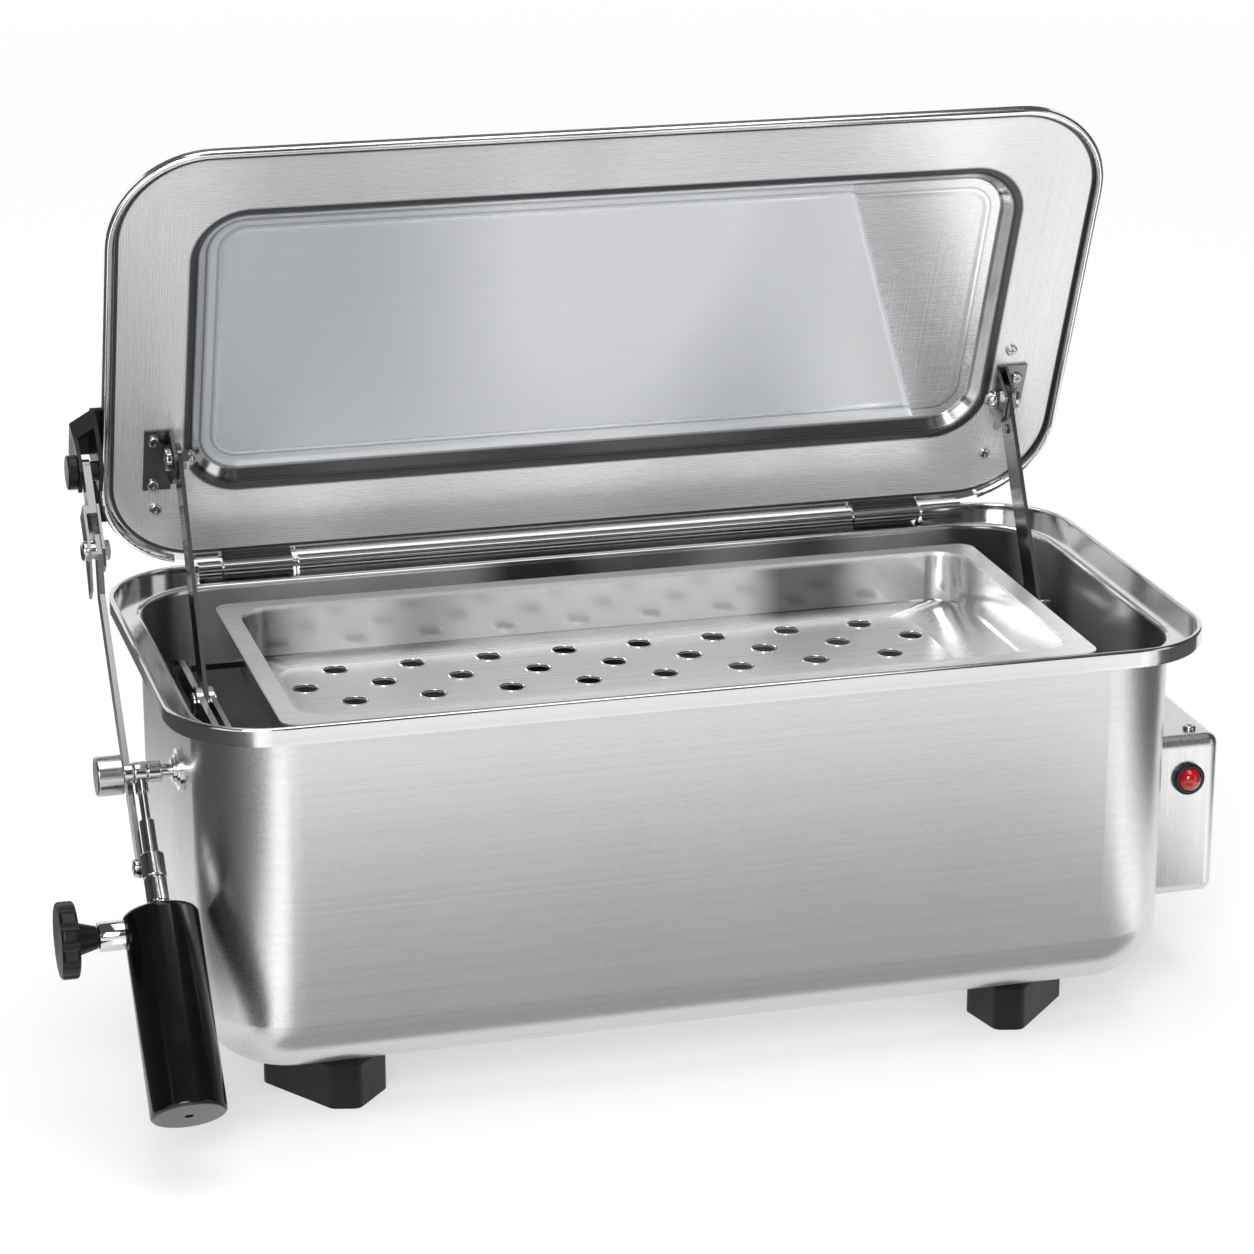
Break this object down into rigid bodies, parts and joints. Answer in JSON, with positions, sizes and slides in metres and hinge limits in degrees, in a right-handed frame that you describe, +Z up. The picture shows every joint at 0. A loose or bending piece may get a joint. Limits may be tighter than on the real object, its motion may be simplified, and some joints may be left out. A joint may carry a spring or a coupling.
{
  "type": "instrument sterilizer",
  "caption": "Steel boiling sterilizer with hinged recessed lid, strap-lifted perforated tray, side lid stay with black cylinder, end control box with red lamp and black feet.",
  "frame": {"origin": "bottom centre of the whole object with the lid open, on the surface it stands on", "axes": "+Z up, +X along the tank towards the control box, +Y towards the lid hinge"},
  "size_m": [0.5594, 0.2738, 0.4127],
  "materials": {
    "satin_steel": "satin brushed stainless steel",
    "polished_steel": "polished stainless steel",
    "chrome": "bright chrome plate",
    "zinc": "zinc plated steel",
    "black_rubber": "satin black rubber",
    "black_gloss": "gloss black enamelled cylinder",
    "black_plastic": "satin black moulding",
    "red_lens": "clear red lens",
    "ceramic": "glazed ceramic",
    "cutout_plastic": "dark phenolic",
    "gasket": "red heat proof rubber",
    "brass": "turned brass",
    "element_metal": "heat tinted steel sheath"
  },
  "bodies": {
    "tank": {"tank_shell": "satin_steel", "feet": "black_rubber", "foot_studs": "zinc", "foot_nuts": "zinc", "hinge_barrel_left": "polished_steel", "hinge_barrel_center": "polished_steel", "hinge_barrel_right": "polished_steel", "hinge_rod": "polished_steel", "heating_element": "element_metal", "element_rest": "zinc", "element_bushes": "brass", "element_gaskets": "gasket", "element_nuts": "brass", "box_back_plate": "zinc", "control_box": "satin_steel", "box_screws": "polished_steel", "lamp_bezel": "black_plastic", "lamp_lens": "red_lens", "lamp_body": "ceramic", "terminal_block": "ceramic", "thermal_cutout": "cutout_plastic", "cord_gland": "black_plastic", "gland_nut": "black_plastic", "stud_plate": "chrome", "pivot_stud": "chrome", "stud_nut": "chrome", "inner_collar": "chrome", "outer_collar": "chrome"},
    "lid": {"lid_panel": "satin_steel", "lid_knuckle_left": "polished_steel", "lid_knuckle_right": "polished_steel", "strap_bracket_left": "polished_steel", "strap_bracket_right": "polished_steel", "backing_plate_right": "zinc", "lid_screws": "polished_steel", "strap_bolts": "polished_steel", "strap_nuts": "polished_steel", "knuckle_bracket": "black_plastic"},
    "left_strap": {"strap_left": "polished_steel", "strap_pin_left": "polished_steel"},
    "right_strap": {"strap_right": "polished_steel", "strap_pin_right": "polished_steel", "strap_ring": "polished_steel"},
    "cradle": {"cradle_end_left": "polished_steel", "cradle_end_right": "polished_steel", "cradle_rails": "polished_steel", "cradle_cheeks": "polished_steel", "cradle_pins": "polished_steel"},
    "tray_body": {"tray": "satin_steel"},
    "swivel": {"swivel_collar": "chrome", "guide_rod": "polished_steel"},
    "stay": {"stay_channel": "polished_steel", "stay_bar": "polished_steel", "stay_bolt_set": "polished_steel", "rod_socket": "chrome", "ferrule": "chrome", "cylinder_set": "black_gloss"},
    "clamp": {"clamp_knob": "black_plastic"},
    "lock": {"lock_knob": "chrome"},
    "thumb": {"thumb_screw": "black_plastic"}
  },
  "joints": [
    {"name": "lid_hinge", "type": "hinge", "parent": "tank", "child": "lid", "pos_m": [0.01075, 0.13018, 0.1935], "axis": [1, 0, 0], "range_deg": [0, 69.1]},
    {"name": "left_strap_pivot", "type": "hinge", "parent": "lid", "child": "left_strap", "pos_m": [-0.19375, 0.09961, 0.25815], "axis": [1, 0, 0], "range_deg": [-47.8, 0]},
    {"name": "right_strap_pivot", "type": "hinge", "parent": "lid", "child": "right_strap", "pos_m": [0.21525, 0.09961, 0.25815], "axis": [1, 0, 0], "range_deg": [-47.8, 0]},
    {"name": "cradle_lift", "type": "slide", "parent": "tank", "child": "cradle", "axis": [0, 0, -1], "range_m": [0, 0.0829]},
    {"name": "tray_lift_out", "type": "slide", "parent": "cradle", "child": "tray_body", "axis": [0, 0, 1], "range_m": [0, 0.055]},
    {"name": "stay_swivel", "type": "hinge", "parent": "tank", "child": "swivel", "pos_m": [-0.23405, -0.01662, 0.1485], "axis": [1, 0, 0], "range_deg": [-26.1, 0]},
    {"name": "stay_slide", "type": "slide", "parent": "swivel", "child": "stay", "axis": [0, -0.6787, -0.7344], "range_m": [0, 0.0764]},
    {"name": "clamp_turn", "type": "hinge", "parent": "stay", "child": "clamp", "pos_m": [-0.26405, -0.06752, 0.09342], "axis": [1, 0, 0], "range_deg": [-180, 180]},
    {"name": "lock_turn", "type": "hinge", "parent": "tank", "child": "lock", "pos_m": [-0.248, -0.01662, 0.1485], "axis": [1, 0, 0], "range_deg": [-180, 180]},
    {"name": "thumb_turn", "type": "hinge", "parent": "lid", "child": "thumb", "pos_m": [-0.245, 0.08574, 0.25927], "axis": [1, 0, 0], "range_deg": [-180, 180]}
  ],
  "couplings": [
    {"joint": "left_strap_pivot", "follows": "lid_hinge", "ratio": -0.69035},
    {"joint": "right_strap_pivot", "follows": "lid_hinge", "ratio": -0.69035},
    {"joint": "cradle_lift", "follows": "lid_hinge", "m_per_rad": 0.06868},
    {"joint": "stay_swivel", "follows": "lid_hinge", "ratio": -0.37722},
    {"joint": "stay_slide", "follows": "lid_hinge", "m_per_rad": 0.06325}
  ]
}
